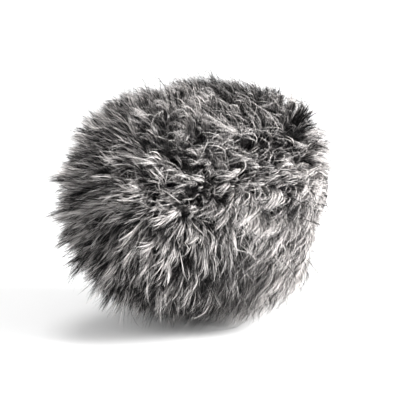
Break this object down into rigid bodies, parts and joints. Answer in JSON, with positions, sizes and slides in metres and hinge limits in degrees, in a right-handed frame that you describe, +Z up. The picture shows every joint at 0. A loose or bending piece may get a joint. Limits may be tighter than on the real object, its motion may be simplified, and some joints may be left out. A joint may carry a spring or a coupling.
{
  "type": "furry microphone windscreen",
  "caption": "Furry windscreen for a compact camera microphone: long-pile sewn cover over a foam core with a rubber collar, closed at the hem by a drawcord and spring cord lock.",
  "frame": {"origin": "centre of the rubber collar's mouth, on the microphone axis", "axes": "+Y along the microphone axis, the way the microphone leaves; the nose points to -Y; +Z up, with the cord lock underneath"},
  "size_m": [0.093, 0.108, 0.093],
  "materials": {
    "foam_core": "fine open-cell foam",
    "collar_ring": "moulded soft rubber",
    "backing_left": "knitted base cloth",
    "backing_right": "knitted base cloth",
    "backing_nose": "knitted base cloth",
    "fur_left": "long pile of charcoal and silver fibres",
    "fur_right": "long pile of charcoal and silver fibres",
    "fur_nose": "long pile of charcoal and silver fibres",
    "seam_thread_top": "sewing thread",
    "seam_thread_bottom": "sewing thread",
    "seam_thread_nose": "sewing thread",
    "hem_binding": "twill binding tape",
    "hem_thread_front": "lockstitch thread",
    "hem_thread_rear": "lockstitch thread",
    "eyelet": "black nickel",
    "drawcord": "braided cord",
    "cord_end": "moulded plastic",
    "cord_lock_body": "moulded plastic, satin",
    "cord_lock_spring": "drawn spring wire",
    "cord_lock_plunger": "moulded plastic, satin"
  },
  "bodies": {
    "core": {"foam_core": "foam_core", "collar_ring": "collar_ring"},
    "cover": {"backing_left": "backing_left", "backing_right": "backing_right", "backing_nose": "backing_nose", "fur_left": "fur_left", "fur_right": "fur_right", "fur_nose": "fur_nose", "seam_thread_top": "seam_thread_top", "seam_thread_bottom": "seam_thread_bottom", "seam_thread_nose": "seam_thread_nose", "hem_binding": "hem_binding", "hem_thread_front": "hem_thread_front", "hem_thread_rear": "hem_thread_rear", "eyelet": "eyelet", "drawcord": "drawcord", "cord_end": "cord_end"},
    "cord_lock": {"cord_lock_body": "cord_lock_body", "cord_lock_spring": "cord_lock_spring"},
    "cord_lock_button": {"cord_lock_plunger": "cord_lock_plunger"}
  },
  "joints": [
    {"name": "cover_pull", "type": "slide", "parent": "core", "child": "cover", "axis": [0, -1, 0], "range_m": [0, 0.085]},
    {"name": "cord_lock_slide", "type": "slide", "parent": "cover", "child": "cord_lock", "axis": [0, 0, -1], "range_m": [0, 0.009]},
    {"name": "cord_lock_press", "type": "slide", "parent": "cord_lock", "child": "cord_lock_button", "axis": [0, -1, 0], "range_m": [0, 0.002], "stiffness_N_per_m": 15, "springref_m": -0.001, "deforming": ["cord_lock_spring"]}
  ]
}
